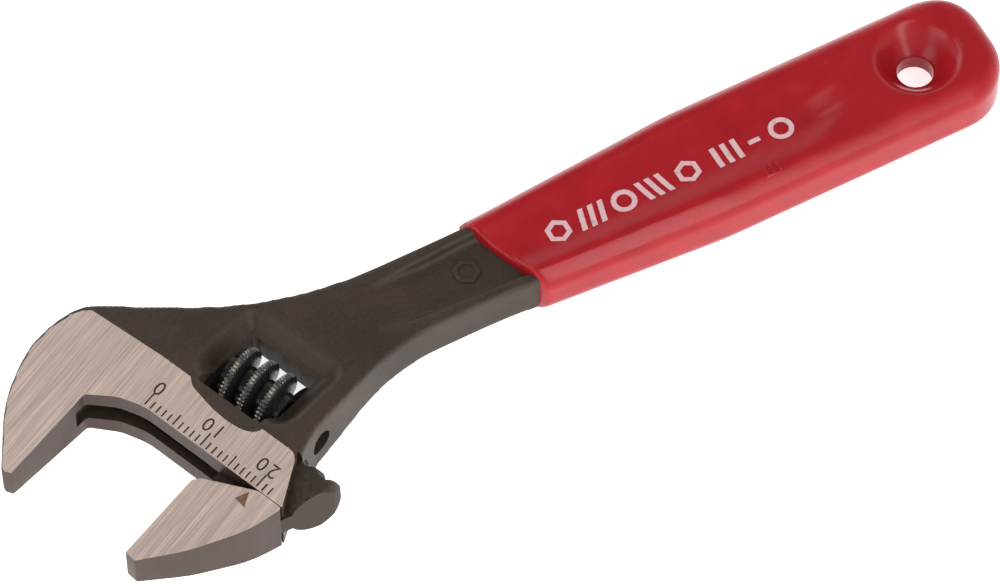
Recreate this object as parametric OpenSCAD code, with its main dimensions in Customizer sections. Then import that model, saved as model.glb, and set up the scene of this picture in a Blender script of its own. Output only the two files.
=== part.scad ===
// Adjustable wrench of the 150 mm class, as an assembly of six separate pieces:
// a forged body with the fixed jaw, a sliding jaw with its rail and rack, a worm,
// the screw pin it turns on, its friction spring, and a dip-moulded vinyl grip.
// The origin is the centre of the hanging hole. X runs along the handle to the grip's
// end, Y points to the fixed jaw's side, and Z is up through the thickness.
// Head features are drawn in the jaw frame: its X is the jaw's depth direction, from
// the jaw tips to the handle, and its Y is the opening direction, to the fixed jaw.

/* [Overall] */
// Distance along the handle from the hanging hole to the scale's zero mark
reach = 120.6; // [100:0.1:150]
// Angle between the jaw faces and the handle
jaw_angle = 21.8; // [15:0.1:30]
// Height of the scale's zero mark above the handle's centre line
jaw_rise = 0.6; // [0:0.1:3]

/* [Handle] */
// Width of the bare neck between the head and the grip
neck_w = 12.2; // [10:0.1:15]
// Width of the steel handle under the grip
handle_w = 16.2; // [13:0.1:20]
// Thickness of the handle's two rims
handle_t = 7.2; // [5.6:0.1:9]
// Thickness of the web between the rims
web_t = 4; // [3:0.1:5]
// Width of each rim
rim_w = 2.6; // [2:0.1:4]
// Distance from the hanging hole to the steel handle's end
tail = 9.9; // [8:0.1:14]

/* [Head] */
// Thickness at the border of the ground faces
head_t = 11.2; // [9.5:0.1:14]
// Thickness at the jaw tips
tip_t = 5.6; // [4:0.1:7]
// Depth of the jaws from the tips to the throat
jaw_depth = 18.5; // [15:0.1:25]
// Jaw opening in the stored position
opening = 20; // [0:0.5:22]
// Largest jaw opening
max_opening = 22; // [20:0.5:25]
// Thickness of the forging in the dish round the worm
dish_t = 4.2; // [3.6:0.1:5]
// How far the ground faces stand above the black forging
grind_step = 0.35; // [0.1:0.05:0.8]

/* [Sliding jaw] */
// Diameter of the round rail under the sliding jaw
rail_d = 8.4; // [6.8:0.1:9.4]
// Length of the rail
rail_len = 17.9; // [15:0.5:22]
// Thickness of the neck that joins the jaw to its rail
tongue_t = 3.4; // [2.6:0.1:4.2]

/* [Worm and pin] */
// Diameter over the worm's thread
worm_d = 10.6; // [8.8:0.1:12.8]
// Distance between two turns of the thread, which is also the rack's pitch
pitch = 3.2; // [2.4:0.1:4]
// Length of the worm
worm_len = 10.6; // [8.8:0.1:12.8]
// Depth of the thread
thread_h = 2.3; // [1.8:0.1:2.6]
// Diameter of the pin
pin_d = 3; // [2.4:0.1:3.6]
// Wire diameter of the friction spring
wire_d = 0.4; // [0.3:0.05:0.5]

/* [Grip] */
// Length of the grip from its mouth to its end
grip_len = 78.6; // [60:1:95]
// Widest part of the grip
grip_w = 18.8; // [15.5:0.1:22.6]
// Thickness of the grip at its rims
grip_t = 10.6; // [8.8:0.1:12.8]
// Thickness of the vinyl past the steel handle's end
grip_wall = 1.5; // [1:0.1:2.5]
// Diameter of the hanging hole
hole_d = 5.5; // [4.5:0.1:7]

/* [Hidden] */
rail_gap = 0.06;     // all round the rail in its bore
tongue_gap = 0.08;   // each side of the tongue in its slot
throat_gap = 0.1;    // between the sliding jaw and the throat
pin_gap = 0.05;      // all round the pin, in the body and in the worm
thread_gap = 0.15;   // each side of the worm's thread in the rack
end_gap = 0.25;      // at each end of the worm in its window
squeeze = 0.03;      // how tightly the vinyl has shrunk on the steel
over = 1;            // how far a cutter runs past what it cuts
fine = 64;           // facets that stand for a true circle

rail_r = rail_d / 2;
worm_r = worm_d / 2;
pin_r = pin_d / 2;
hole_r = hole_d / 2;
root_r = worm_r - thread_h;
bite = 0.64 * thread_h;                         // how deep the rack sits in the thread
rail_n = rail_r + 0.9;                          // rail's centre behind the throat
worm_n = rail_n + rail_r + worm_r - bite;       // worm's centre behind the throat
fixed_u = 7.5;                                  // fixed jaw face above the zero mark
moving_u = fixed_u - opening;                   // sliding jaw face
window_top = -3.1;                              // end of the window nearest the fixed jaw
window_len = worm_len + 2 * end_gap;
window_n0 = worm_n - worm_r - 0.7;              // the window opens into the rail's bore
window_n1 = worm_n + worm_r + 0.75;
worm_u = window_top - window_len / 2;           // worm's middle
mesh_u = worm_u - 0.27 * pitch;                 // a thread crest on the rail's side
pin_top = window_top + 5.5;
head_seat = window_top - window_len - 3.2;      // the pin's head seats here
pin_head_r = pin_r + 0.35;
pin_head_h = 1.6;
spring_r = pin_r + pin_gap + 0.15 + wire_d / 2;
pocket_r = spring_r + wire_d / 2 + 0.3;         // counterbore in the worm for the spring
pocket_h = 3.2;
rail_top = moving_u + 2.6;                      // front end of the rail
rail_end = rail_top - rail_len;
pad_n = 7;                                      // border of the ground faces
slope = (head_t - tip_t) / 2 / (jaw_depth + pad_n);
black_t = head_t - 2 * grind_step;
thread_w = 0.36 * pitch;                        // width of the thread's crest
flank = 0.29;                                   // widening per mm towards the root
hole_lip = 1.05;                                // vinyl over the steel at the hole
grip_end = tail + grip_wall;
grip_mouth = grip_end - grip_len;

// ---- outlines ------------------------------------------------------------------------

function unit(v) = v / norm(v);

// The corner b between a and c as an arc of radius r
function corner(a, b, c, r) = r == 0 ? [b] :
    let (p = unit(a - b), q = unit(c - b), half = acos(p * q) / 2,
         m = b + unit(p + q) * r / sin(half), s = b + p * r / tan(half) - m,
         turn = (cross(p, q) < 0 ? 1 : -1) * (180 - 2 * half),
         start = atan2(s[1], s[0]), steps = max(2, ceil(abs(turn) / 7)))
    [for (i = [0 : steps]) m + r * [cos(start + turn * i / steps), sin(start + turn * i / steps)]];

// A closed outline from [x, y, corner radius] points
function rounded(pts) = let (k = len(pts), xy = [for (p = pts) [p[0], p[1]]])
    [for (i = [0 : k - 1]) each corner(xy[(i + k - 1) % k], xy[i], xy[(i + 1) % k], pts[i][2])];

// A jaw-frame point with its corner radius, as a point of the handle's frame
function from_jaw(n, u, r) = [-reach + n * cos(jaw_angle) - u * sin(jaw_angle),
                              jaw_rise + n * sin(jaw_angle) + u * cos(jaw_angle), r];

// Half thickness of the ground faces at depth n
function pad_h(n) = head_t / 2 + (n - pad_n) * slope;

module jaw_frame() translate([-reach, jaw_rise, 0]) rotate(jaw_angle) children();

// A round bar along the opening direction, from u0 up to u1
module bar(n, u0, u1, r, r2 = 0) translate([n, u0, 0]) rotate([-90, 0, 0])
    cylinder(r1 = r, r2 = r2 == 0 ? r : r2, h = u1 - u0, $fn = fine);

// A prism along the opening direction with its section given in depth and height
module prism(u0, u1) translate([0, u1, 0]) rotate([90, 0, 0]) linear_extrude(u1 - u0) children();

module body_plan() polygon(rounded([
    from_jaw(-jaw_depth, fixed_u, 0), from_jaw(-jaw_depth - 0.6, fixed_u + 1.4, 0),
    from_jaw(-10.7, 15.9, 18), from_jaw(-2.2, 18.7, 12), from_jaw(5.8, 17.6, 7),
    [-reach + 16.6, neck_w / 2 + 3.6, 50], [-reach + 31.6, neck_w / 2, 60],
    [-70, neck_w / 2, 60], [-44, handle_w / 2, 90],
    [tail, handle_w / 2, 6.4], [tail, -handle_w / 2, 6.4],
    [-44, -handle_w / 2, 90], [-70, -neck_w / 2, 50], [-reach + 35.1, -neck_w / 2, 30],
    from_jaw(12.3, -20.3, 1), from_jaw(7.6, -21, 1),
    from_jaw(0, -24.8, 0.4), from_jaw(0, -0.3, 8), from_jaw(-1.1, 3.6, 5), from_jaw(-3.6, fixed_u, 0.8)]));

// Side view of the forging: level over the window, then easing down to the handle
module forging_side() polygon([for (s = [1, -1])
    each s == 1 ? [for (p = side_points) p] : [for (i = [len(side_points) - 1 : -1 : 0])
        [side_points[i][0], -side_points[i][1]]]]);
side_points = [[-jaw_depth - 4, pad_h(-jaw_depth - 4) - grind_step], [pad_n, black_t / 2],
    [worm_n + 1, black_t / 2 - 0.4], [worm_n + 7, black_t / 2 - 1],
    [worm_n + 12, handle_t / 2 + 0.3], [worm_n + 19, handle_t / 2]];

// The ground faces: two planes that close towards the jaw tips
module ground_side() polygon([[-jaw_depth - 4, -pad_h(-jaw_depth - 4)], [pad_n + 0.6, -pad_h(pad_n + 0.6)],
    [pad_n + 0.6, pad_h(pad_n + 0.6)], [-jaw_depth - 4, pad_h(-jaw_depth - 4)]]);

// Plan of the ground faces
module ground_plan() polygon(rounded([[-30, 40, 0], [-30, -40, 0], [1.5, -40, 0],
    [pad_n + 1, -20.9, 1.6], [pad_n + 0.7, worm_u, 0], [pad_n, worm_u, 0], [pad_n, 40, 0]]));

// The recess between the handle's rims, run out over the ramp at its head end. Its half
// widths are w0 at the front and w1 from the knee on.
module web_recess(depth, front, knee, back, w0, w1, ramp) intersection() {
    linear_extrude(20) polygon(rounded([[front, -w0, 0], [knee, -w1, 20], [back, -w1, w1 * 0.7],
        [back, w1, w1 * 0.7], [knee, w1, 20], [front, w0, 0]]));
    rotate([90, 0, 0]) linear_extrude(60, center = true) polygon([[front - 1, depth + over],
        [front - 1, depth], [front + ramp, 0], [back + 2, 0], [back + 2, depth + over]]);
}

module handle_steel() difference() {
    linear_extrude(handle_t, center = true) intersection() {
        body_plan();
        translate([-reach + 22, -40]) square([reach + 40, 80]);
    }
    for (s = [0, 1]) mirror([0, 0, s]) {
        translate([0, 0, web_t / 2]) web_recess((handle_t - web_t) / 2, -reach + 29, -46, -9.5,
            neck_w / 2 - rim_w, handle_w / 2 - rim_w, 9);
        translate([0, 0, web_t / 2]) cylinder(r1 = 5.3, r2 = 5.3 + (handle_t - web_t) / 2 + over,
            h = (handle_t - web_t) / 2 + over, $fn = fine);
    }
    cylinder(r = hole_r + 1.15, h = 30, center = true, $fn = fine);
}

module body() color([0.25, 0.22, 0.2]) difference() {
    union() {
        handle_steel();
        intersection() {
            linear_extrude(head_t + 2, center = true) body_plan();
            jaw_frame() union() {
                prism(-40, 40) forging_side();
                intersection() {
                    prism(-40, 40) ground_side();
                    linear_extrude(head_t + 2, center = true) ground_plan();
                }
            }
            translate([-reach - 60, -50, -20]) cube([84, 100, 40]);
        }
    }
    jaw_frame() head_cuts();
}

// Slot, rail bore, worm window with its shallow dish, pin hole and scale marks
module head_cuts() {
    bar(rail_n, -40, fixed_u + rail_top - moving_u + 0.4, rail_r + rail_gap);
    translate([-5.6, -40, -tongue_t / 2 - tongue_gap])
        cube([5.6 + rail_n, 40 + fixed_u + 1, tongue_t + 2 * tongue_gap]);
    translate([window_n0, window_top - window_len, -20]) cube([window_n1 - window_n0, window_len, 40]);
    for (s = [0, 1]) mirror([0, 0, s]) translate([worm_n + 0.3, worm_u, dish_t / 2])
        cylinder(r1 = worm_r + 0.9, r2 = worm_r + 3.3, h = 4, $fn = fine);
    bar(worm_n, -40, pin_top, pin_r + pin_gap);
    bar(worm_n, -40, head_seat, pin_head_r + pin_gap);
    scale_marks();
}

// Millimetre marks along the throat: long at the tens, middling at the fives
module scale_marks() for (i = [0 : 22]) {
    mark = i % 10 == 0 ? 2.2 : i % 5 == 0 ? 1.8 : 1.2;
    translate([0.2, -i - 0.09, pad_h(0.2) - 0.12]) rotate([0, -atan(slope), 0]) cube([mark, 0.18, 1]);
}

// Plan of the sliding jaw's working part, drawn from its own face
module jaw_plan() translate([0, moving_u]) polygon(rounded([[-jaw_depth + 0.7, 0, 0],
    [-jaw_depth + 0.5, -1.8, 0.5], [-12.5, -6.5, 22], [-5.2, -11, 18], [-throat_gap, -12.4, 0.4],
    [-throat_gap, -8.3, 0], [-0.4, -7.5, 0], [-3.4, -0.8, 0.8], [-4.3, 0, 0.4]]));

// The tongue runs from the jaw through the slot to the rail
module tongue_plan() polygon([[-2, moving_u - 1], [rail_n, moving_u - 0.6], [rail_n, rail_end],
    [-throat_gap, rail_end], [-2, moving_u - 11.2]]);

// What is ground away below the line where the jaw's outer wall runs on across the rail
module under_jaw() linear_extrude(3 * rail_d, center = true) polygon([[-throat_gap - 3, moving_u - 11.2],
    [-throat_gap, moving_u - 12.4], [rail_n + 2, rail_end], [rail_n + 2, rail_end - 9],
    [-throat_gap - 3, rail_end - 9]]);

module moving_jaw() color([0.7, 0.65, 0.62]) jaw_frame() difference() {
    union() {
        intersection() {
            linear_extrude(head_t + 2, center = true) jaw_plan();
            prism(-60, 20) ground_side();
        }
        difference() {
            union() {
                linear_extrude(tongue_t, center = true) tongue_plan();
                bar(rail_n, rail_end + 0.8, rail_top - 0.8, rail_r);
                bar(rail_n, rail_end, rail_end + 0.8, rail_r - 0.8, rail_r);
                bar(rail_n, rail_top - 0.8, rail_top, rail_r, rail_r - 0.8);
            }
            under_jaw();
        }
    }
    rack_gaps();
    translate([-1.5, moving_u - 7.5, pad_h(-1.5) - 0.12]) rotate([0, -atan(slope), 0])
        linear_extrude(1) polygon([[0.6, 0.2], [-1.3, 1.1], [-1.6, -0.8]]);
}

// Slanted gaps across the rail that the worm's thread runs in. The end gaps may open out
// through the rail's ends, so the thread is clear of them at every jaw opening.
module rack_gaps() {
    lead = atan(pitch / (2 * PI * (worm_r - bite / 2)));
    tip = thread_w / 2 + thread_gap;
    wide = tip + (bite + 1) * flank;
    first = ceil((rail_end - wide - mesh_u) / pitch);
    last = floor((rail_top + wide - mesh_u) / pitch);
    for (k = [first : last]) translate([worm_n - worm_r - thread_gap, mesh_u + k * pitch, 0])
        rotate([-lead, 0, 0]) linear_extrude(2 * rail_d, center = true)
            polygon([[0, -tip], [0, tip], [bite + 1, wide], [bite + 1, -wide]]);
}

// A bar of the given section wound on a helix about Z; section points are [radius, height]
module helix(section, turns, rise, steps) {
    k = len(section);
    total = ceil(turns * steps);
    points = [for (i = [0 : total]) for (p = section)
        [p[0] * cos(360 * i / steps), p[0] * sin(360 * i / steps), p[1] + rise * i / steps]];
    sides = [for (i = [0 : total - 1]) for (j = [0 : k - 1])
        [i * k + j, i * k + (j + 1) % k, (i + 1) * k + (j + 1) % k, (i + 1) * k + j]];
    ends = [[for (j = [k - 1 : -1 : 0]) j], [for (j = [0 : k - 1]) total * k + j]];
    polyhedron(points, concat(sides, ends), convexity = 6);
}

// The worm stands on its axis here, its thread crest facing the rail at mid length
module worm() color([0.16, 0.15, 0.15]) jaw_frame() translate([worm_n, worm_u, 0])
    rotate([-90, 0, 0]) difference() {
        union() {
            cylinder(r = root_r, h = worm_len, center = true, $fn = fine);
            intersection() {
                cylinder(r = worm_r, h = worm_len - 0.02, center = true, $fn = fine);
                rotate(180) translate([0, 0, mesh_u - worm_u - 3 * pitch])
                    helix(thread_section, 6, pitch, 24);
            }
        }
        cylinder(r = pin_r + pin_gap, h = 2 * worm_len, center = true, $fn = fine);
        translate([0, 0, -worm_len / 2 - over]) cylinder(r = pocket_r, h = pocket_h + over, $fn = fine);
    }
thread_out = worm_r + 0.3;
thread_section = let (a = thread_w / 2 - 0.3 * flank, b = thread_w / 2 + (thread_h + 0.3) * flank)
    [[root_r - 0.3, -b], [thread_out, -a], [thread_out, a], [root_r - 0.3, b]];

module worm_pin() color([0.62, 0.6, 0.58]) jaw_frame() difference() {
    union() {
        bar(worm_n, head_seat - over, pin_top - 0.5, pin_r);
        bar(worm_n, pin_top - 0.5, pin_top - 0.1, pin_r, pin_r - 0.4);
        bar(worm_n, head_seat - pin_head_h, head_seat, pin_head_r);
    }
    translate([worm_n - 10, head_seat - pin_head_h - over, -0.3]) cube([20, over + 0.9, 0.6]);
}

// Coil spring on the pin, in the worm's counterbore, pressing on the window's end
module worm_spring() color([0.5, 0.5, 0.52]) jaw_frame()
    translate([worm_n, window_top - window_len + wire_d / 2 + 0.01, 0]) rotate([-90, 0, 0])
        helix([for (a = [0 : 60 : 300]) [spring_r + wire_d / 2 * cos(a), wire_d / 2 * sin(a)]],
            4, (pocket_h + end_gap - wire_d - 0.03) / 4, 20);

// A round disc with rounded edges, half thickness t
module puck(r, t, e) rotate_extrude($fn = 36) polygon(concat([[0, -t]],
    [for (a = [-90 : 18 : 0]) [r - e + e * cos(a), -t + e + e * sin(a)]],
    [for (a = [0 : 18 : 90]) [r - e + e * cos(a), t - e + e * sin(a)]], [[0, t]]));

module grip() color([0.67, 0.14, 0.17]) difference() {
    hull() for (s = [-1, 1]) {
        translate([grip_mouth + 2, s * (grip_w * 0.4 - 3.2), 0]) puck(3.2, grip_t * 0.44, 2.4);
        translate([grip_mouth + 32, s * (grip_w / 2 - 3.6), 0]) puck(3.6, grip_t / 2, 3);
        translate([grip_end - 7.4, s * (grip_w / 2 - 7.5), 0]) puck(7.4, grip_t / 2, 3);
    }
    translate([grip_mouth, 0, 0]) rotate(18) translate([-20, -30, -20]) cube([20, 60, 40]);
    // what the steel fills, a shade smaller than the steel because the vinyl is shrunk on
    difference() {
        handle_steel();
        cylinder(r = hole_r + 1.15 + squeeze, h = 30, center = true, $fn = fine);
    }
    for (s = [0, 1]) mirror([0, 0, s]) {
        translate([0, 0, grip_t / 2 - 0.9]) web_recess(0.9, grip_mouth - 6, -44, -12,
            grip_w * 0.4 - 4.2, grip_w / 2 - 4.4, 3);
        translate([0, 0, web_t / 2 + hole_lip]) cylinder(r1 = 3.9, r2 = 6.6,
            h = grip_t / 2 - web_t / 2 - hole_lip + 0.01, $fn = fine);
    }
    cylinder(r = hole_r, h = 30, center = true, $fn = fine);
}

body();
moving_jaw();
worm();
worm_pin();
worm_spring();
grip();
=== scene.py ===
"""An adjustable wrench: forged body, ground sliding jaw, knurled worm on its pin, and a dipped vinyl grip."""

from math import atan, atan2, cos, exp, pi, radians, tan

import bmesh
import bpy
from bpy.props import FloatProperty, FloatVectorProperty, IntProperty, PointerProperty
from mathutils import Matrix, Vector


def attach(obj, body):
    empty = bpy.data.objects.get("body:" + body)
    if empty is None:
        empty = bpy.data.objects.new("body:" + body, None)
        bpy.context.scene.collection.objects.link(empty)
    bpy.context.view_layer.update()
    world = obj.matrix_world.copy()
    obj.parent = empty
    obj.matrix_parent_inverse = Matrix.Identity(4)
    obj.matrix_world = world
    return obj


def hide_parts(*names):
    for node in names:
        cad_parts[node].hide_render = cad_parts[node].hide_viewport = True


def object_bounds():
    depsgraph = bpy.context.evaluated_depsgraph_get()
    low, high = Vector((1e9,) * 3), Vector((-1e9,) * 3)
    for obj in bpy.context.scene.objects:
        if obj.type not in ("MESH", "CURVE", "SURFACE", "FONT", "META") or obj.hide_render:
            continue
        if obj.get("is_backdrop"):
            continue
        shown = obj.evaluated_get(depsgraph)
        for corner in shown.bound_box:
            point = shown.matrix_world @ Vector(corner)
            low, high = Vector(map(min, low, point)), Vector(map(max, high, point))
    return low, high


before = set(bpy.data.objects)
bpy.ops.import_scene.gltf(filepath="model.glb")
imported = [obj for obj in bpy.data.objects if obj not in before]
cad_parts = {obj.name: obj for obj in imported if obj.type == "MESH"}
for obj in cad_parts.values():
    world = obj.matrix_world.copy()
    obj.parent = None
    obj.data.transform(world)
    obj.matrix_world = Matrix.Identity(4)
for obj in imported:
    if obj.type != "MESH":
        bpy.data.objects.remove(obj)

bl_info = {
    "name": "Adjustable Wrench",
    "version": (1, 0, 0),
    "blender": (4, 5, 0),
    "location": "View3D > Sidebar > Wrench",
    "description": "Builds an adjustable wrench with its materials and a plain studio",
    "category": "Add Mesh",
}

MM = 0.001
CAD_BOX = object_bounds()

# The jaws' own frame: first number is depth from the throat towards the handle, second is
# height towards the fixed jaw. The jaws open along the second direction.
HEAD_TURN = radians(21.8)
JAW = Matrix.Translation((-0.1206, 0.0006, 0)) @ Matrix.Rotation(HEAD_TURN, 4, "Z")
WORM_DEPTH, WORM_HEIGHT = 13.128, -8.65      # the worm's middle
RAIL_DEPTH = 5.1                             # the rail's centre line
FIXED_FACE, SLIDING_FACE = 7.5, -12.5        # the two jaw faces
GROUND_HALF, GROUND_AT = 5.6, 7              # half thickness of the ground faces, and the depth it is met at
GROUND_SLOPE = 0.1098                        # the ground faces close towards the jaw tips
GROUND_TILT = Matrix.Rotation(-atan(GROUND_SLOPE), 4, "Y")
BLANK_HALF = 9                               # half thickness of the blank before it is cut
HANDLE_HALF, WEB_HALF = 3.6, 2.0             # the handle's rims, and its web and the dish round the worm
GRIP_HALF = 5.3                              # half thickness of the dipped grip
PIN_BORE = 1.55                              # radius of the hole for the pin, in the head and in the worm
MARK_HALF = 0.5                              # half thickness of the solids that cut the marks


def ground_height(depth):
    """Half thickness of the ground faces at that depth, in millimetres."""
    return GROUND_HALF + (depth - GROUND_AT) * GROUND_SLOPE


# ---- shapes -----------------------------------------------------------------------------


def round_corner(bm, vert, radius):
    """Rounds one corner of a flat outline."""
    a, b = ((e.other_vert(vert).co - vert.co).normalized() for e in vert.link_edges)
    half = a.angle(b) / 2
    steps = max(2, round((pi - 2 * half) / radians(4)))
    bmesh.ops.bevel(bm, geom=[vert], offset=radius * MM / tan(half), offset_type="OFFSET", segments=steps,
                    profile=0.5, affect="VERTICES", material=-1, clamp_overlap=False)


def verts_in(geometry):
    """The vertices in an operator's result."""
    return [g for g in geometry if isinstance(g, bmesh.types.BMVert)]


def plate(outline, low, high, place=None):
    """A flat solid from an outline of (x, y, corner radius) in millimetres, from low to high."""
    bm = bmesh.new()
    corners = [bm.verts.new((p[0] * MM, p[1] * MM, high * MM)) for p in outline]
    bm.faces.new(corners)
    for vert, p in zip(corners, outline):
        if len(p) > 2 and p[2]:
            round_corner(bm, vert, p[2])
    bm.faces.ensure_lookup_table()
    side = bmesh.ops.extrude_face_region(bm, geom=[bm.faces[0]])
    bmesh.ops.translate(bm, verts=verts_in(side["geom"]), vec=(0, 0, (low - high) * MM))
    bmesh.ops.recalc_face_normals(bm, faces=bm.faces)
    if place:
        bmesh.ops.transform(bm, matrix=place, verts=bm.verts)
    return bm


def through(outline):
    """A plate in the jaws' frame that reaches right through the blank."""
    return plate(outline, -BLANK_HALF, BLANK_HALF, JAW)


def side_prism(profile, width, place):
    """A solid from a side view of (depth, half thickness), the same above and below, that wide."""
    outline = profile + [(d, -h) for d, h in reversed(profile)]
    return plate(outline, -width / 2, width / 2, place @ Matrix.Rotation(pi / 2, 4, "X"))


def drum(radius, length, middle=0.0, sides=64):
    """A round plug along the axis through the wrench's thickness."""
    bm = bmesh.new()
    bmesh.ops.create_cone(bm, cap_ends=True, segments=sides, radius1=radius * MM, radius2=radius * MM,
                          depth=length * MM, matrix=Matrix.Translation((0, 0, middle * MM)))
    return bm


def rod(depth, low, high, radius):
    """A round rod along the jaws' opening direction."""
    bm = drum(radius, high - low)
    middle = Matrix.Translation((depth * MM, (low + high) / 2 * MM, 0))
    bmesh.ops.transform(bm, matrix=JAW @ middle @ Matrix.Rotation(-pi / 2, 4, "X"), verts=bm.verts)
    return bm


def block(size, place):
    """A box of that size in millimetres, set in a place of its own."""
    bm = bmesh.new()
    bmesh.ops.create_cube(bm, size=1, matrix=place @ Matrix.Diagonal((*(s * MM for s in size), 1)))
    return bm


def mirrored(bm):
    """Adds the same shape on the other face of the wrench."""
    copy = bmesh.ops.duplicate(bm, geom=bm.verts[:] + bm.edges[:] + bm.faces[:])["geom"]
    bmesh.ops.scale(bm, vec=(1, 1, -1), verts=verts_in(copy))
    bmesh.ops.reverse_faces(bm, faces=[g for g in copy if isinstance(g, bmesh.types.BMFace)])
    return bm


def from_mesh(mesh):
    """A bmesh of a finished mesh."""
    bm = bmesh.new()
    bm.from_mesh(mesh)
    return bm


def as_object(name, bm, materials=()):
    """Turns a shape into an object of the scene."""
    mesh = bpy.data.meshes.new(name)
    bm.to_mesh(mesh)
    bm.free()
    for m in materials:
        mesh.materials.append(m)
    obj = bpy.data.objects.new(name, mesh)
    bpy.context.scene.collection.objects.link(obj)
    return obj


def discard(obj):
    """Removes a helper object with its mesh."""
    data = obj.data
    bpy.data.objects.remove(obj)
    bpy.data.meshes.remove(data)


def apply_modifiers(obj):
    """Turns the piece's modifiers into its mesh."""
    graph = bpy.context.evaluated_depsgraph_get()
    mesh = bpy.data.meshes.new_from_object(obj.evaluated_get(graph), depsgraph=graph)
    old = obj.data
    obj.modifiers.clear()
    obj.data = mesh
    bpy.data.meshes.remove(old)
    mesh.name = obj.name


def cut(obj, tool, materials, number, operation="DIFFERENCE"):
    """Machines a shape out of a piece. The new faces get materials[number]."""
    for face in tool.faces:
        face.material_index = number
    other = as_object("tool", tool, materials)
    step = obj.modifiers.new("cut", "BOOLEAN")
    step.operation = operation
    step.solver = "EXACT"
    step.object = other
    step.material_mode = "TRANSFER"
    apply_modifiers(obj)
    discard(other)
    if not obj.data.polygons:
        raise RuntimeError(f"{obj.name}: nothing left after a cut")


def soften(obj, grain, passes):
    """Rebuilds a blank in even small facets and rounds its edges, as forging or dipping does."""
    step = obj.modifiers.new("even", "REMESH")
    step.mode = "VOXEL"
    step.voxel_size = grain * MM
    step.adaptivity = 0
    smooth = obj.modifiers.new("soft", "SMOOTH")
    smooth.factor = 0.5
    smooth.iterations = passes
    apply_modifiers(obj)


def ease(value, low, high):
    """Rises smoothly from 0 at low to 1 at high."""
    t = max(0.0, min(1.0, (value - low) / (high - low)))
    return t * t * (3 - 2 * t)


def sink(obj, floor, share):
    """Lowers both faces of a blank towards a floor, by the share that the function gives at each place."""
    for v in obj.data.vertices:
        height = abs(v.co.z) / MM
        if height > floor:
            part = share(v.co)
            if part > 0:
                v.co.z *= (height - (height - floor) * part) / height


def dish_share(co):
    """The shallow dish round the worm: full depth at the window, soft outside it."""
    p = JAW.inverted() @ co / MM
    near, far, low, high = 12.4, 19.7, -14.7, -2.6
    across = (near - p.x) / 4.4 if p.x < near else max(p.x - far, 0) / 3.2
    along = max(low - p.y, p.y - high, 0) / 2.9
    return 1 - ease((across * across + along * along) ** 0.5, 0.0, 1.0)


def finish_shading(obj, angle=32.0):
    """Smooth shading with crisp lines at corners and where one finish meets another."""
    bm = from_mesh(obj.data)
    limit = radians(angle)
    for face in bm.faces:
        face.smooth = True
    for e in bm.edges:
        if len(e.link_faces) == 2:
            a, b = e.link_faces
            e.smooth = a.material_index == b.material_index and e.calc_face_angle(0) < limit
    bm.to_mesh(obj.data)
    bm.free()


def merged_copy(node, name, materials=()):
    """A copy of a frame node with its loose triangles joined into whole faces."""
    bm = from_mesh(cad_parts[node].data)
    bmesh.ops.remove_doubles(bm, verts=bm.verts, dist=1e-6)
    bmesh.ops.dissolve_limit(bm, angle_limit=radians(0.4), verts=bm.verts, edges=bm.edges)
    for face in bm.faces:
        face.material_index = 0
    return as_object(name, bm, materials)


def ride(obj, body, slot, *nodes):
    """Gives a piece its body and hides the nodes that it stands for; the slot is not used."""
    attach(obj, body)
    if nodes:
        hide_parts(*nodes)
    return obj


# ---- finishes ---------------------------------------------------------------------------


def finish(name, colour, metallic, roughness, specular=0.5):
    """A new shader, with the plain numbers set on its own sockets."""
    mat = bpy.data.materials.new(name)
    mat.use_nodes = True
    nodes = mat.node_tree.nodes
    shader = nodes["Principled BSDF"]
    shader.inputs["Base Color"].default_value = (*colour, 1)
    shader.inputs["Metallic"].default_value = metallic
    shader.inputs["Roughness"].default_value = roughness
    shader.inputs["Specular IOR Level"].default_value = specular
    mat.diffuse_color = (*colour, 1)
    return mat, mat.node_tree, shader


def noise(tree, scale, detail, stretch=(1, 1, 1), turn=(0, 0, 0), rough=0.55):
    """Noise on the piece's own coordinates, turned and stretched to follow a grain."""
    coords = tree.nodes.new("ShaderNodeTexCoord")
    lay = tree.nodes.new("ShaderNodeMapping")
    lay.vector_type = "TEXTURE"
    lay.inputs["Rotation"].default_value = turn
    lay.inputs["Scale"].default_value = stretch
    tex = tree.nodes.new("ShaderNodeTexNoise")
    tex.inputs["Scale"].default_value = scale
    tex.inputs["Detail"].default_value = detail
    tex.inputs["Roughness"].default_value = rough
    tree.links.new(coords.outputs["Object"], lay.inputs["Vector"])
    tree.links.new(lay.outputs["Vector"], tex.inputs["Vector"])
    return tex.outputs["Fac"]


def ramp(tree, value, stops):
    """Colours along a value."""
    node = tree.nodes.new("ShaderNodeValToRGB")
    band = node.color_ramp
    for i, (place, colour) in enumerate(stops):
        stop = band.elements[i] if i < 2 else band.elements.new(place)
        stop.position = place
        stop.color = (*colour, 1)
    tree.links.new(value, node.inputs["Fac"])
    return node.outputs["Color"]


def shades(tree, value, colour, low, high, start=0.3, end=0.7):
    """The colour from its low share to its high share along a value."""
    c = Vector(colour)
    return ramp(tree, value, ((start, tuple(c * low)), (end, tuple(c * high))))


def between(tree, value, low, high):
    """The value spread from low to high."""
    node = tree.nodes.new("ShaderNodeMapRange")
    for socket, number in (("From Min", 0.3), ("From Max", 0.7), ("To Min", low), ("To Max", high)):
        node.inputs[socket].default_value = number
    tree.links.new(value, node.inputs["Value"])
    return node.outputs["Result"]


def bump(tree, shader, value, strength, height, below=None):
    """Raises the surface along a value, over another bump if there is one."""
    node = tree.nodes.new("ShaderNodeBump")
    node.inputs["Strength"].default_value = strength
    node.inputs["Distance"].default_value = height
    tree.links.new(value, node.inputs["Height"])
    if below:
        tree.links.new(below, node.inputs["Normal"])
    tree.links.new(node.outputs["Normal"], shader.inputs["Normal"])
    return node.outputs["Normal"]


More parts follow.
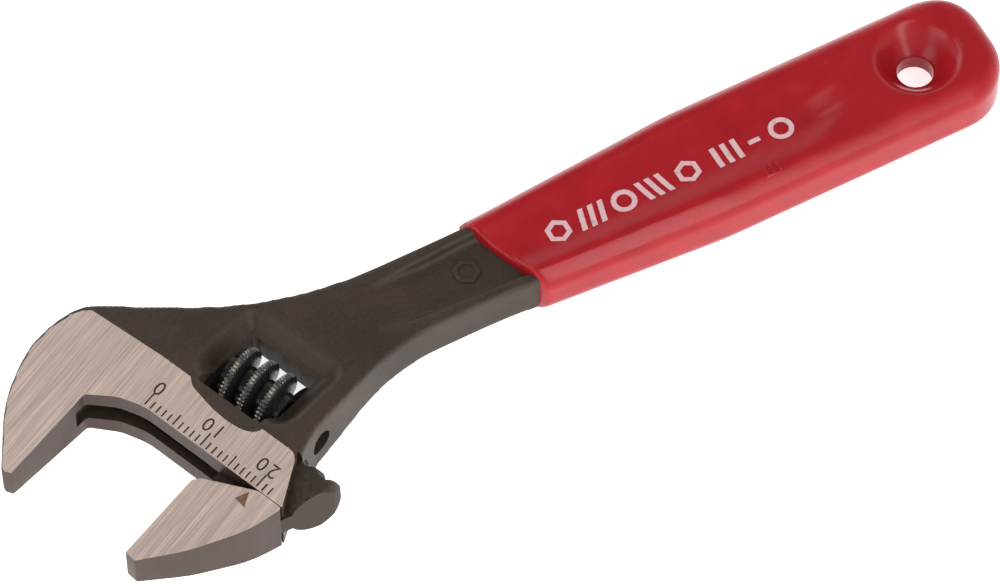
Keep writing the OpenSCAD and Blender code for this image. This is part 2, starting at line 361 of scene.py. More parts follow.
def times(tree, a, b):
    """One colour multiplied by another."""
    node = tree.nodes.new("ShaderNodeMix")
    node.data_type = "RGBA"
    node.blend_type = "MULTIPLY"
    node.inputs["Factor"].default_value = 1.0
    for socket, value in ((6, a), (7, b)):      # its two colour sockets
        tree.links.new(value, node.inputs[socket])
    return node.outputs[2]


WHITE = (1, 1, 1)


def forging_finish(colour):
    """Satin black phosphate over a forged skin, a little browner and lighter in patches."""
    mat, tree, shader = finish("phosphate", colour, 0.0, 0.5, 0.3)
    patches = noise(tree, 90, 3)
    base = shades(tree, patches, colour, 0.8, 1.25)
    skin = noise(tree, 2600, 3)
    tree.links.new(times(tree, base, shades(tree, skin, WHITE, 0.82, 1.12, 0.35, 0.65)),
                   shader.inputs["Base Color"])
    tree.links.new(between(tree, skin, 0.42, 0.56), shader.inputs["Roughness"])
    coarse = bump(tree, shader, patches, 0.35, 0.0002)
    bump(tree, shader, skin, 0.35, 0.00003, coarse)
    return mat


def grain_finish(name, colour, contrast, rough, turn, height=0.00001, metallic=1.0):
    """Steel with the fine parallel lines that a grinding wheel leaves."""
    mat, tree, shader = finish(name, colour, metallic, rough)
    c = Vector(colour)
    fine = noise(tree, 1, 2, (0.009, 0.00014, 0.006), (0, 0, turn), 0.6)
    broad = noise(tree, 1, 2, (0.02, 0.0012, 0.01), (0, 0, turn))
    lines = ramp(tree, fine, ((0.34, tuple(c * (1 - contrast))), (0.5, colour),
                              (0.66, tuple(c * (1 + contrast)))))
    tree.links.new(times(tree, lines, shades(tree, broad, WHITE, 0.93, 1.05)), shader.inputs["Base Color"])
    tree.links.new(between(tree, fine, rough - 0.06, rough + 0.1), shader.inputs["Roughness"])
    bump(tree, shader, fine, 0.6, height)
    return mat


def wall_finish(colour):
    """Milled side walls: darker, with lines through the thickness."""
    mat, tree, shader = finish("milled_wall", colour, 0.3, 0.45, 0.3)
    lines = noise(tree, 1, 3, (0.0005, 0.0005, 0.004), (0, 0, 0), 0.6)
    cloud = noise(tree, 160, 3)
    base = shades(tree, lines, colour, 0.93, 1.08)
    tree.links.new(times(tree, base, shades(tree, cloud, WHITE, 0.85, 1.1)), shader.inputs["Base Color"])
    tree.links.new(between(tree, cloud, 0.36, 0.5), shader.inputs["Roughness"])
    bump(tree, shader, lines, 0.4, 0.00001)
    return mat


def dark_finish(name, colour, metallic, rough, specular=0.4):
    """Blackened steel with a film of oil."""
    mat, tree, shader = finish(name, colour, metallic, rough, specular)
    film = noise(tree, 1800, 3)
    tree.links.new(shades(tree, film, colour, 0.7, 1.35), shader.inputs["Base Color"])
    tree.links.new(between(tree, film, rough - 0.08, rough + 0.12), shader.inputs["Roughness"])
    bump(tree, shader, film, 0.3, 0.00002)
    return mat


def vinyl_finish(colour):
    """Glossy dipped vinyl with a faint long ripple."""
    mat, tree, shader = finish("dipped_vinyl", colour, 0.0, 0.24, 0.27)
    ripple = noise(tree, 1, 2, (0.016, 0.005, 0.005))
    depth = noise(tree, 220, 2)
    tree.links.new(shades(tree, depth, colour, 0.88, 1.08, 0.25, 0.75), shader.inputs["Base Color"])
    tree.links.new(between(tree, depth, 0.2, 0.28), shader.inputs["Roughness"])
    orange_peel = bump(tree, shader, ripple, 0.5, 0.00022)
    bump(tree, shader, noise(tree, 1500, 2), 0.15, 0.00001, orange_peel)
    return mat


def ink_finish(colour):
    """Printed ink, a little worn."""
    mat, tree, shader = finish("pale_ink", colour, 0.0, 0.45)
    wear = noise(tree, 1400, 4)
    tree.links.new(shades(tree, wear, colour, 0.72, 1, 0.28, 0.45), shader.inputs["Base Color"])
    return mat


# ---- sizes and colours a user would change ------------------------------------------------


def colour_property(name, text, value):
    """A colour that a user would change."""
    return FloatVectorProperty(name=name, description=text, default=value, size=3, min=0, max=1,
                               subtype="COLOR")


def length_property(name, text, value, low, high):
    """A length that a user would change, in millimetres."""
    return FloatProperty(name=name, description=text, default=value * MM, min=low * MM, max=high * MM,
                         unit="LENGTH", subtype="DISTANCE", precision=5)


class WrenchSizes(bpy.types.PropertyGroup):
    forging_grain: length_property("Forging facets", "Size of the facets that the soft forging is built in",
                                   0.38, 0.25, 1.5)
    grip_grain: length_property("Grip facets", "Size of the facets that the dipped grip is built in",
                                0.36, 0.25, 1.5)
    mark_depth: length_property("Mark depth", "How deep the scale and its numbers are cut", 0.12, 0.05, 0.3)
    recess_depth: length_property("Grip recess", "How far the grip sinks between the handle's rims",
                                  1.25, 0.2, 1.4)
    knurl_teeth: IntProperty(name="Knurl teeth", description="Teeth round one turn of the worm's thread",
                             default=56, min=24, max=90)
    knurl_depth: length_property("Knurl depth", "Depth of the knurling on the worm's thread", 0.2, 0.02, 0.4)


class WrenchColours(bpy.types.PropertyGroup):
    forging: colour_property("Forging", "Black phosphate on the forged body", (0.045, 0.031, 0.022))
    ground: colour_property("Ground steel", "Bright ground faces of both jaws", (0.58, 0.46, 0.4))
    wall: colour_property("Milled walls", "Side walls of the jaws and the throat", (0.066, 0.041, 0.035))
    oiled: colour_property("Oiled steel", "The worm", (0.022, 0.020, 0.020))
    # the knurl tops' colour is partly real wear of the crests and partly a painted highlight for their glints
    peaks: colour_property("Knurl peaks", "Bright tops of the knurling", (0.2, 0.18, 0.16))
    blackened: colour_property("Rail steel", "Tongue and rail of the sliding jaw", (0.042, 0.03, 0.023))
    marks: colour_property("Marks", "Filled scale marks and numbers", (0.06, 0.035, 0.028))
    pointer: colour_property("Pointer", "Filled pointer on the sliding jaw", (0.20, 0.105, 0.065))
    vinyl: colour_property("Vinyl", "The dipped grip", (0.40, 0.010, 0.018))
    ink: colour_property("Ink", "Print on the grip", (0.78, 0.50, 0.53))


class WrenchStage(bpy.types.PropertyGroup):
    floor: colour_property("Floor", "The plain floor", (0.95, 0.95, 0.95))
    key_power: FloatProperty(name="Lights", description="Power of the side light, which the others follow",
                             default=3.0, min=0, unit="POWER")
    ceiling: FloatProperty(name="Ceiling", description="Brightness of the studio overhead",
                           default=0.3, min=0)
    distance: FloatProperty(name="Camera distance", description="From the camera to the wrench",
                            default=0.9, min=0.3, unit="LENGTH", subtype="DISTANCE")


PIN_STEEL, SPRING_STEEL = (0.12, 0.11, 0.1), (0.5, 0.5, 0.5)
GRINDING = radians(24)     # the way the grinding lines run on the ground faces
FINISHES = {}


def finishes():
    """All the wrench's materials, made once."""
    if not FINISHES:
        look = bpy.context.scene.wrench_colours
        made = (
            forging_finish(tuple(look.forging)),
            grain_finish("ground_faces", tuple(look.ground), 0.24, 0.46, GRINDING, 0.00002, 0.5),
            wall_finish(tuple(look.wall)),
            dark_finish("oiled_worm", tuple(look.oiled), 0.2, 0.27),
            # knurl tops: lighter, more metallic steel, partly real wear and partly a painted glint
            dark_finish("knurl_wear_and_glint", tuple(look.peaks), 0.9, 0.24),
            dark_finish("black_rail", tuple(look.blackened), 0.0, 0.5, specular=0.2),
            dark_finish("mark_fill", tuple(look.marks), 0.0, 0.6),
            dark_finish("pointer_fill", tuple(look.pointer), 0.0, 0.6),
            grain_finish("turned_pin", PIN_STEEL, 0.12, 0.3, HEAD_TURN + pi / 2),
            grain_finish("spring_wire", SPRING_STEEL, 0.1, 0.3, HEAD_TURN),
            vinyl_finish(tuple(look.vinyl)),
            ink_finish(tuple(look.ink)),
        )
        FINISHES.update({mat.name: mat for mat in made})
    return FINISHES


# ---- the pieces ---------------------------------------------------------------------------


def jaw_point(depth, height, radius=0.0):
    """A point of the jaws' frame in the handle's frame."""
    p = JAW @ Vector((depth * MM, height * MM, 0)) / MM
    return p.x, p.y, radius


def body_outline():
    """Plan of the forging, with stock left where the mouth and the lower end are milled."""
    return [
        jaw_point(-19.6, 4.0), jaw_point(-19.1, 8.9, 0.5), jaw_point(-10.7, 15.9, 18),
        jaw_point(-2.2, 18.7, 12), jaw_point(5.8, 17.6, 7), (-104, 9.7, 50), (-89, 6.1, 60), (-70, 6.1, 60),
        (-44, 8.1, 90), (9.9, 8.1, 6.4), (9.9, -8.1, 6.4), (-44, -8.1, 90), (-70, -6.1, 50), (-85.5, -6.1, 30),
        jaw_point(12.3, -20.3, 1), jaw_point(7.9, -21.6, 1), jaw_point(4, -24.5), jaw_point(-1.5, -26.5),
        jaw_point(-1.5, 0.5),
    ]


def on_ground(depth, height, cut_depth):
    """The place of a mark's cutter on the ground face, where it goes that deep."""
    rise = ground_height(depth) - cut_depth + MARK_HALF
    return JAW @ Matrix.Translation((depth * MM, height * MM, rise * MM)) @ GROUND_TILT


def scale_numbers(cut_depth):
    """The numbers 0, 10 and 20 as solids that stand in the ground face."""
    numbers = bmesh.new()
    for text, height in (("0", -0.1), ("10", -9.8), ("20", -19.5)):
        curve = bpy.data.curves.new("number", "FONT")
        curve.body = text
        curve.align_x = "CENTER"
        curve.align_y = "CENTER"
        curve.size = 3.0 * MM
        curve.space_character = 1.25
        curve.extrude = MARK_HALF * MM
        curve.resolution_u = 4
        letter = bpy.data.objects.new("number", curve)
        bpy.context.scene.collection.objects.link(letter)
        graph = bpy.context.evaluated_depsgraph_get()
        mesh = bpy.data.meshes.new_from_object(letter.evaluated_get(graph))
        mesh.transform(on_ground(3.35, height, cut_depth) @ Matrix.Rotation(pi / 2, 4, "Z"))
        numbers.from_mesh(mesh)
        bpy.data.objects.remove(letter)
        bpy.data.curves.remove(curve)
        bpy.data.meshes.remove(mesh)
    bmesh.ops.remove_doubles(numbers, verts=numbers.verts, dist=2e-7)
    return numbers


def scale_ticks(cut_depth):
    """Millimetre marks along the throat, long at the tens and middling at the fives."""
    ticks = bmesh.new()
    edge, width = 0.2, 0.24
    for i in range(23):
        length = 2.2 if i % 10 == 0 else 1.8 if i % 5 == 0 else 1.2
        place = on_ground(edge + length / 2, -i, cut_depth)
        bmesh.ops.create_cube(ticks, size=1, matrix=place @ Matrix.Diagonal((length * MM, width * MM, MM, 1)))
    return ticks


def handle_recess():
    """What is taken out between the handle's rims. It runs out on the ramp behind the head."""
    recess = plate([(-93, -3.2), (-46, -5.5, 20), (-9.5, -5.5, 3.8), (-9.5, 5.5, 3.8), (-46, 5.5, 20),
                    (-93, 3.2)], WEB_HALF, 12)
    ramp_down = Matrix.Translation((-92 * MM, 0, 4.2 * MM)) @ Matrix.Rotation(atan(2.2 / 15), 4, "Y")
    holder = as_object("recess", recess)
    cut(holder, block((100, 100, 20), ramp_down @ Matrix.Translation((0, 0, -0.01))), (), 0)
    bm = from_mesh(holder.data)
    discard(holder)
    return mirrored(bm)


def build_forging():
    """Forges the blank, then grinds, mills, bores and marks it."""
    m = finishes()
    stock = [m[n] for n in ("phosphate", "ground_faces", "milled_wall", "mark_fill")]
    skin, ground, wall, fill = range(4)
    sizes = bpy.context.scene.wrench_sizes
    grain = max(sizes.forging_grain / MM, 0)
    obj = as_object("forged_body", plate(body_outline(), -BLANK_HALF, BLANK_HALF), stock)
    profile = [(-24, ground_height(-24) + 0.3), (7.6, ground_height(7.2) + 0.06), (10, 5.35),
               (WORM_DEPTH + 2, 4.95), (WORM_DEPTH + 7, 4.3), (WORM_DEPTH + 12, 3.85),
               (WORM_DEPTH + 19, HANDLE_HALF), (170, HANDLE_HALF)]
    cut(obj, side_prism(profile, 200, JAW), stock, skin, "INTERSECT")
    cut(obj, handle_recess(), stock, skin)
    # the hanging hole, and the wider round that the web has about it
    cut(obj, drum(3.9, 2 * BLANK_HALF), stock, skin)
    cut(obj, mirrored(drum(5.3, BLANK_HALF - WEB_HALF, (BLANK_HALF + WEB_HALF) / 2)), stock, skin)
    soften(obj, grain, 14)
    sink(obj, WEB_HALF, dish_share)
    # the two ground faces, which close towards the jaw tips
    pad = [(-30, 30), (5.8, 30), (7.5, -1.9, 1.3), (6.3, -3.4, 1.6), (5.45, -7.5, 8), (5.2, -10.5, 6),
           (5.5, -13.2, 4), (6.3, -14.75, 1.5), (7.8, -15.3, 1.0), (7.75, -20.0, 1.8), (6.8, -21.95, 1.0),
           (0.0, -25.4), (-30, -25.4)]
    grind = plate(pad, 0, 6, JAW @ Matrix.Translation((0, 0, ground_height(0) * MM)) @ GROUND_TILT)
    cut(obj, mirrored(grind), stock, ground)
    # the mouth and throat, the flat at the lower end of the head, and the fixed jaw's end
    for outline in (
            [(-30, FIXED_FACE), (-3.6, FIXED_FACE, 0.8), (-1.1, 3.6, 5), (0, -0.3, 8), (0, -40), (-30, -40)],
            [(-3, -26.3), (7.6, -21.0), (9, -30), (-3, -30)],
            [(-18.5, 0), (-18.5, 7.5), (-19.1, 8.9), (-25, 8.9), (-25, 0)]):
        cut(obj, through(outline), stock, wall)
    # slot for the tongue, bore for the rail, window for the worm, and the pin's hole with its wider mouth
    slot = plate([(-5.6, -40), (RAIL_DEPTH, -40), (RAIL_DEPTH, 8.5), (-5.6, 8.5)], -1.78, 1.78, JAW)
    window = through([(7.5, -14.2, 0.5), (19.3, -14.2, 0.6), (19.3, -3.1, 0.6), (7.5, -3.1, 0.5)])
    for tool in (slot, rod(RAIL_DEPTH, -40, 10.5, 4.26), window, rod(WORM_DEPTH, -40, 2.4, PIN_BORE),
                 rod(WORM_DEPTH, -40, -17.4, 1.9)):
        cut(obj, tool, stock, skin)
    cut_depth = sizes.mark_depth / MM
    cut(obj, scale_ticks(cut_depth), stock, fill)
    cut(obj, scale_numbers(cut_depth), stock, fill)
    finish_shading(obj)
    ride(obj, "frame", "black_forging", "body")
    build_size_mark(m["phosphate"])


def build_size_mark(phosphate):
    """A small raised hexagon on the web, where the size would be forged."""
    mark = bmesh.new()
    for radius in (2.1, 1.25):
        bmesh.ops.create_circle(mark, cap_ends=False, segments=6, radius=radius * MM)
    bmesh.ops.bridge_loops(mark, edges=mark.edges)
    up = bmesh.ops.extrude_face_region(mark, geom=mark.faces[:])
    bmesh.ops.translate(mark, verts=verts_in(up["geom"]), vec=(0, 0, 0.6 * MM))
    bmesh.ops.recalc_face_normals(mark, faces=mark.faces)
    top = [e for e in mark.edges if all(v.co.z > 0.0004 for v in e.verts)]
    bmesh.ops.bevel(mark, geom=top, offset=0.16 * MM, offset_type="OFFSET", segments=3, profile=0.5,
                    affect="EDGES", material=-1)
    bmesh.ops.transform(mark, matrix=Matrix.Translation((-0.0712, 0.0003, 0.00168)), verts=mark.verts)
    size_mark = as_object("size_mark", mark, [phosphate])
    finish_shading(size_mark)
    ride(size_mark, "frame", "black_forging")


def build_sliding_jaw():
    """The sliding jaw: bright faces, darker walls, black tongue and toothed rail."""
    m = finishes()
    obj = merged_copy("moving_jaw", "sliding_jaw",
                      [m[n] for n in ("milled_wall", "ground_faces", "black_rail", "pointer_fill")])
    ground, rail, pointer = 1, 2, 3
    bm = from_mesh(obj.data)
    back = JAW.inverted()
    for face in bm.faces:
        p = back @ face.calc_center_median() / MM
        flat = abs(face.normal.z) > 0.9
        off = ground_height(p.x) - abs(p.z)
        if flat and p.x < 0.5 and off < 0.05:
            face.material_index = ground
        elif flat and p.x < 0.5 and off < 0.2 and abs(p.z) > 1.75:
            face.material_index = pointer
        elif p.x > -0.05 or (flat and abs(p.z) < 1.72 and p.y < SLIDING_FACE - 0.5):
            face.material_index = rail
    edges = [e for e in bm.edges if len(e.link_faces) == 2 and e.calc_face_angle(0) > radians(28)
             and e.calc_length() > 0.25 * MM
             and not any(f.material_index == pointer for v in e.verts for f in v.link_faces)]
    bmesh.ops.bevel(bm, geom=edges, offset=0.1 * MM, offset_type="OFFSET", segments=2, profile=0.5,
                    affect="EDGES", material=-1, clamp_overlap=True)
    bm.to_mesh(obj.data)
    bm.free()
    finish_shading(obj, 50)
    even = obj.modifiers.new("even", "WEIGHTED_NORMAL")
    even.keep_sharp = True
    apply_modifiers(obj)
    ride(obj, "jaw", "ground_steel", "moving_jaw")


def build_worm():
    """The worm: one deep right-hand thread on a core, its crest knurled along the axis."""
    m = finishes()
    sizes = bpy.context.scene.wrench_sizes
    teeth = sizes.knurl_teeth
    steps = teeth * 4
    pitch, half, crest, root, turns = 3.2, 5.3, 5.28, 3.05, 5
    bm = bmesh.new()
    flank = [(root - 0.4, 1.22), (root + 0.35, 1.05), (crest - 0.9, 0.74), (crest - 0.4, 0.6),
             (crest - 0.12, 0.45), (crest, 0.26)]
    outline = [(r, -h) for r, h in flank] + flank[::-1]
    verts = [bm.verts.new((r * MM, 0, h * MM)) for r, h in outline]
    face = bm.faces.new(verts)
    bmesh.ops.spin(bm, geom=[face], cent=(0, 0, 0), axis=(0, 0, 1), dvec=(0, 0, pitch * MM / steps),
                   angle=2 * pi * turns, steps=steps * turns, use_merge=False, use_duplicate=False)
    bmesh.ops.recalc_face_normals(bm, faces=bm.faces)
    for v in bm.verts:
        r = Vector((v.co.x, v.co.y)).length
        if r > (crest - 0.4) * MM:
            turn = atan2(v.co.y, v.co.x) * teeth
            dip = sizes.knurl_depth * (0.5 - 0.5 * cos(turn))
            v.co.x *= (r - dip) / r
            v.co.y *= (r - dip) / r
    # the knurl tops get the lighter finish: partly real wear of the crests, partly a painted glint
    for f in bm.faces:
        if all(Vector((v.co.x, v.co.y)).length > (crest - 0.05) * MM - sizes.knurl_depth for v in f.verts):
            f.material_index = 1
    bmesh.ops.translate(bm, verts=bm.verts, vec=(0, 0, -pitch * turns / 2 * MM))
    # the crest that faces the rail stands 0.27 of a turn's rise from mid length
    lead = Matrix.Rotation(2 * pi * 0.27, 4, "Z")
    bmesh.ops.transform(bm, matrix=lead, verts=bm.verts)
    oiled = [m["oiled_worm"], m["knurl_wear_and_glint"]]
    thread = as_object("worm", bm, oiled)
    cut(thread, drum(root, 2 * half, sides=96), oiled, 0, "UNION")
    cut(thread, drum(9, 2 * half, sides=96), oiled, 0, "INTERSECT")
    # the bore for the pin, and the pocket for the spring at one end
    cut(thread, drum(PIN_BORE, 30), oiled, 0)
    cut(thread, drum(2.4, 8, -half + 3.2 - 4), oiled, 0)
    turned = Matrix.Rotation(-pi / 2, 4, "X")
    thread.data.transform(JAW @ Matrix.Translation((WORM_DEPTH * MM, WORM_HEIGHT * MM, 0)) @ turned)
    finish_shading(thread, 45)
    ride(thread, "screw", "oiled_steel", "worm")


def build_pin():
    """The worm's pin with its slotted head, and the friction spring on it."""
    m = finishes()
    pin = merged_copy("worm_pin", "pin", [m["turned_pin"]])
    bm = from_mesh(pin.data)
    rims = [e for e in bm.edges if len(e.link_faces) == 2 and e.calc_face_angle(0) > radians(35)]
    bmesh.ops.bevel(bm, geom=rims, offset=0.12 * MM, offset_type="OFFSET", segments=3, profile=0.5,
                    affect="EDGES", material=-1, clamp_overlap=True)
    bm.to_mesh(pin.data)
    bm.free()
    finish_shading(pin)
    ride(pin, "frame", "pin_steel", "worm_pin")
    spring = merged_copy("worm_spring", "friction_spring", [m["spring_wire"]])
    finish_shading(spring, 60)
    ride(spring, "frame", "spring_steel", "worm_spring")


def skin_sag(co, recess):
    """How far the grip's skin sinks, in millimetres: a trough along it, a dimple round the hole and
    a fall towards its sides."""
    x, y = co.x / MM, abs(co.y / MM)
    narrow = max(0.0, min(1.0, (-x - 35) / 30))
    half = 7.3 - 1.6 * narrow
    closed = 1 - ease(x, -22.0, -9.5)
    trough = recess * (1 - ease(y, 1.4, half * (0.35 + 0.65 * closed))) * (1 - ease(x, -18.5, -11.0))
    dimple = 3.8 * (1 - ease((x * x + y * y) ** 0.5, 2.3, 6.7))
    return max(trough, dimple) + 0.95 * ease(y, 6.2 - 1.4 * narrow, 10.2 - 1.9 * narrow)


def crease(obj):
    """Two short creases near the grip's end."""
    width, depth = 0.0003, 0.00016
    for v in obj.data.vertices:
        if v.co.z > 0.003 and v.co.x > 0.004:
            for x0, y0, x1, y1 in ((0.0064, -0.0016, 0.0066, 0.0012), (0.0078, -0.0012, 0.0079, 0.0015)):
                a, b = Vector((x0, y0)), Vector((x1, y1))
                p = Vector((v.co.x, v.co.y))
                t = max(0, min(1, (p - a).dot(b - a) / (b - a).length_squared))
                d = (p - a - (b - a) * t).length / width
                if d < 3:
                    v.co.z -= depth * exp(-d * d)


def build_grip():
    """The dipped grip: a soft skin that sinks between the rims and dimples round the hole."""
    m = finishes()
    sizes = bpy.context.scene.wrench_sizes
    grain = max(sizes.grip_grain / MM, 0)
    skin = [m["dipped_vinyl"]]
    outline = [(-75, -7.1), (-65.2, -7.55, 30), (-35.2, -9.42, 60), (11.39, -9.42, 7.4), (11.39, 9.42, 7.4),
               (-35.2, 9.42, 60), (-65.2, 7.55, 30), (-75, 7.1)]
    bm = plate(outline, -GRIP_HALF, GRIP_HALF)
    # it thins from here towards its mouth
    start, run = 0.036, 0.03
    for v in bm.verts:
        if v.co.x < -start:
            v.co.z *= 1 - 0.12 * min(1.4, (-v.co.x - start) / run)
    rims = [e for e in bm.edges if e.verts[0].co.z * e.verts[1].co.z > 0]
    bmesh.ops.bevel(bm, geom=rims, offset=2.7 * MM, offset_type="OFFSET", segments=6, profile=0.5,
                    affect="EDGES", material=-1, clamp_overlap=True)
    obj = as_object("grip_skin", bm, skin)
    cut(obj, drum(2.62, 20), skin, 0)
    mouth = Matrix.Translation((-66.0 * MM, 0, 0)) @ Matrix.Rotation(radians(21), 4, "Z")
    cut(obj, block((20, 60, 40), mouth @ Matrix.Translation((-10 * MM, 0, 0))), skin, 0)
    soften(obj, grain, 12)
    recess = sizes.recess_depth / MM
    for v in obj.data.vertices:
        v.co.z *= 1 - skin_sag(v.co, recess) / GRIP_HALF
    crease(obj)
    finish_shading(obj, 80)
    ride(obj, "frame", "vinyl", "grip")
    lay_print(obj, m["pale_ink"])
    raise_mark(obj, m["dipped_vinyl"])


def print_shapes():
    """A plain pattern of hexagons, leaning bars and rings, in millimetres along the grip."""
    bm = bmesh.new()
    x = -59.4

    def bar(x0, width, lean=0.0, low=-1.75, high=1.75):
        corners = (x0, low, 0), (x0 + width, low, 0), (x0 + width + lean, high, 0), (x0 + lean, high, 0)
        bm.faces.new([bm.verts.new(p) for p in corners])

    def ring(x0, sides, radius, hollow):
        middle = Matrix.Translation((x0, 0, 0))
        rings = [bmesh.ops.create_circle(bm, cap_ends=False, segments=sides, radius=r, matrix=middle)["verts"]
                 for r in (radius, hollow)]
        loops = {e for ring_verts in rings for v in ring_verts for e in v.link_edges}
        bmesh.ops.bridge_loops(bm, edges=list(loops))

    ring(x + 2.0, 6, 1.95, 1.15)
    for i in range(3):
        bar(x + 4.9 + i * 1.55, 0.8, 0.9)
    ring(x + 12.3, 28, 1.85, 1.1)
    for i in range(3):
        bar(x + 15.6 + i * 1.55, 0.8, -0.9)
    ring(x + 22.4, 6, 1.95, 1.15)
    for i in range(3):
        bar(x + 26.6 + i * 1.6, 0.8)
    bar(x + 32.0, 1.8, 0, -0.35, 0.35)
    ring(x + 37.2, 28, 1.85, 1.1)
    return bm


def lay_print(grip, ink):
    """Lays the print on the grip as a thin film."""
    bm = print_shapes()
    bmesh.ops.subdivide_edges(bm, edges=bm.edges[:], cuts=3, use_grid_fill=True)
    bmesh.ops.triangulate(bm, faces=bm.faces[:])
    bmesh.ops.recalc_face_normals(bm, faces=bm.faces)
    for f in bm.faces:
        if f.normal.z < 0:
            f.normal_flip()
    above = Matrix.Translation((0, -0.0008, 0.009)) @ Matrix.Scale(MM, 4)
    bmesh.ops.transform(bm, matrix=above, verts=bm.verts)
    drawn = as_object("printed_pattern", bm, [ink])
    wrap = drawn.modifiers.new("lay", "SHRINKWRAP")
    wrap.wrap_method = "PROJECT"
    wrap.use_project_z = True
    wrap.use_negative_direction = True
    wrap.use_positive_direction = False
    wrap.target = grip
    wrap.offset = 0.03 * MM
    thick = drawn.modifiers.new("film", "SOLIDIFY")
    thick.thickness = 0.05 * MM
    thick.offset = 0
    apply_modifiers(drawn)
    finish_shading(drawn)
    ride(drawn, "frame", "vinyl")


def raise_mark(grip, vinyl):
    """A small raised mark of four bars beside the print."""
    bm = bmesh.new()
    for x, y, w, h in ((-28.0, -6.4, 0.4, 1.9), (-27.0, -6.4, 0.4, 1.9), (-26.0, -6.4, 0.4, 1.9),
                       (-27.0, -7.4, 2.6, 0.4)):
        found, skin, normal, _ = grip.ray_cast(Vector((x * MM, y * MM, 0.02)), Vector((0, 0, -1)))
        if not found:
            raise RuntimeError("the raised mark is off the grip")
        upright = Matrix.Translation(skin) @ normal.to_track_quat("Z", "Y").to_matrix().to_4x4()
        bmesh.ops.create_cube(bm, size=1, matrix=upright @ Matrix.Diagonal((w * MM, h * MM, 0.3 * MM, 1)))
    bmesh.ops.bevel(bm, geom=bm.edges[:], offset=0.1 * MM, offset_type="OFFSET", segments=3, profile=0.5,
                    affect="EDGES", material=-1)
    raised = as_object("raised_mark", bm, [vinyl])
    finish_shading(raised, 60)
    ride(raised, "frame", "vinyl")


def build_floor(colour):
    """Pale paper just under the wrench."""
    bm = bmesh.new()
    under = Matrix.Translation((0, 0, CAD_BOX[0][2] - 0.00002))
    bmesh.ops.create_grid(bm, x_segments=1, y_segments=1, size=3, matrix=under)
    mat, tree, shader = finish("floor_paper", colour, 0.0, 0.85, 0.1)
    speck = noise(tree, 300, 3)
    tree.links.new(shades(tree, speck, WHITE, 0.94, 0.97), shader.inputs["Base Color"])
    shader.inputs["Emission Color"].default_value = (1, 1, 1, 1)
    shader.inputs["Emission Strength"].default_value = 0.8
    floor = as_object("floor", bm, [mat])
    floor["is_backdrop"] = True


def build_world(ceiling):
    """The studio: a white sweep all round, falling off to a dim ceiling."""
    world = bpy.data.worlds.new("studio")
    world.use_nodes = True
    tree = world.node_tree
    around = tree.nodes.new("ShaderNodeTexCoord")
    parts = tree.nodes.new("ShaderNodeSeparateXYZ")
    tree.links.new(around.outputs["Generated"], parts.inputs["Vector"])
    sky = tree.nodes.new("ShaderNodeValToRGB")
    for i, (at, grey) in enumerate(((0.3, 1.0), (0.72, ceiling))):
        sky.color_ramp.elements[i].position = at
        sky.color_ramp.elements[i].color = (grey, grey * 0.985, grey * 0.965, 1)
    tree.links.new(parts.outputs["Z"], sky.inputs["Fac"])
    tree.links.new(sky.outputs["Color"], tree.nodes["Background"].inputs["Color"])
    bpy.context.scene.world = world
    bpy.context.scene.view_settings.view_transform = "Standard"


def build_stage():
    """A pale floor, three soft lights, the studio round them and the camera."""
    look = bpy.context.scene.wrench_stage
    build_floor(tuple(look.floor))
    middle = Vector((-0.06812, -0.00369, 0))
    for name, place, size, share in (("front_light", (0.15, -0.9, 0.72), (1.5, 0.3), 2.2),
                                     ("back_light", (-0.35, 1.0, 0.75), (1.2, 0.5), 1.2),
                                     ("side_light", (-1.1, -0.1, 0.7), (0.6, 0.9), 1)):
        data = bpy.data.lights.new(name, "AREA")
        data.shape = "RECTANGLE"
        data.size, data.size_y = size
        data.energy = look.key_power * share
        light = bpy.data.objects.new(name, data)
        light.location = place
        light.rotation_euler = (middle - Vector(place)).to_track_quat("-Z", "X").to_euler()
        bpy.context.scene.collection.objects.link(light)
    build_world(look.ceiling)
    tilt, turn = radians(31.9), radians(-28.3)
    eye = Matrix.Rotation(turn, 4, "Z") @ Matrix.Rotation(tilt, 4, "X")
    data = bpy.data.cameras.new("camera")
    data.lens = 235.5
    data.sensor_width = 36
    data.clip_start = 0.05
    camera = bpy.data.objects.new("camera", data)
    camera.location = middle + eye.to_3x3() @ Vector((0, 0, look.distance))
    camera.rotation_euler = (tilt, 0, turn)
    bpy.context.scene.collection.objects.link(camera)
    bpy.context.scene.camera = camera


# ---- operators, panel and run ---------------------------------------------------------------


class WRENCH_OT_forging(bpy.types.Operator):
    """Forge and machine the body with its scale"""
    bl_idname = "wrench.forging"
    bl_label = "Forged body"

    def execute(self, context):
        build_forging()
        return {"FINISHED"}


class WRENCH_OT_sliding_jaw(bpy.types.Operator):
    """Add the sliding jaw with its toothed rail"""
    bl_idname = "wrench.sliding_jaw"
    bl_label = "Sliding jaw"

    def execute(self, context):
        build_sliding_jaw()
        return {"FINISHED"}


class WRENCH_OT_worm(bpy.types.Operator):
    """Add the knurled worm"""
    bl_idname = "wrench.worm"
    bl_label = "Worm"

    def execute(self, context):
        build_worm()
        return {"FINISHED"}


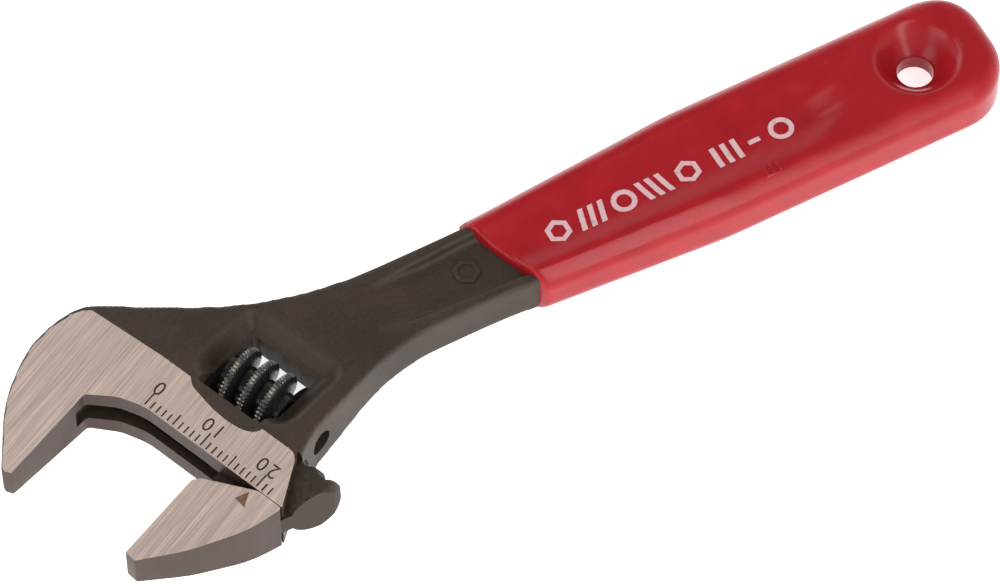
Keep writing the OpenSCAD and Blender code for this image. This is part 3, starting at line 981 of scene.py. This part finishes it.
class WRENCH_OT_pin(bpy.types.Operator):
    """Add the worm's pin and its friction spring"""
    bl_idname = "wrench.pin"
    bl_label = "Pin and spring"

    def execute(self, context):
        build_pin()
        return {"FINISHED"}


class WRENCH_OT_grip(bpy.types.Operator):
    """Dip the handle in vinyl and print it"""
    bl_idname = "wrench.grip"
    bl_label = "Grip"

    def execute(self, context):
        build_grip()
        return {"FINISHED"}


class WRENCH_OT_stage(bpy.types.Operator):
    """Set the floor, the lights and the camera"""
    bl_idname = "wrench.stage"
    bl_label = "Studio"

    def execute(self, context):
        build_stage()
        return {"FINISHED"}


STEPS = (WRENCH_OT_forging, WRENCH_OT_sliding_jaw, WRENCH_OT_worm, WRENCH_OT_pin, WRENCH_OT_grip,
         WRENCH_OT_stage)


class WRENCH_PT_sidebar(bpy.types.Panel):
    """Builds the wrench piece by piece"""
    bl_label = "Adjustable wrench"
    bl_idname = "WRENCH_PT_sidebar"
    bl_space_type = "VIEW_3D"
    bl_region_type = "UI"
    bl_category = "Wrench"

    def draw(self, context):
        for group in (context.scene.wrench_sizes, context.scene.wrench_colours, context.scene.wrench_stage):
            box = self.layout.box()
            for name in group.__annotations__:
                box.prop(group, name)
        for step in STEPS:
            self.layout.operator(step.bl_idname)


GROUPS = {"wrench_sizes": WrenchSizes, "wrench_colours": WrenchColours, "wrench_stage": WrenchStage}


def register():
    for cls in (*GROUPS.values(), *STEPS, WRENCH_PT_sidebar):
        bpy.utils.register_class(cls)
    for name, cls in GROUPS.items():
        setattr(bpy.types.Scene, name, PointerProperty(type=cls))


def unregister():
    for name in GROUPS:
        delattr(bpy.types.Scene, name)
    for cls in (WRENCH_PT_sidebar, *reversed(STEPS), *GROUPS.values()):
        bpy.utils.unregister_class(cls)


def main():
    register()
    for step in STEPS:
        group, name = step.bl_idname.split(".")
        getattr(getattr(bpy.ops, group), name)()
    lists = [[list(corner) if hasattr(corner, "__len__") else corner for corner in box]
             for box in (CAD_BOX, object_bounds())]


if __name__ == "__main__":
    main()
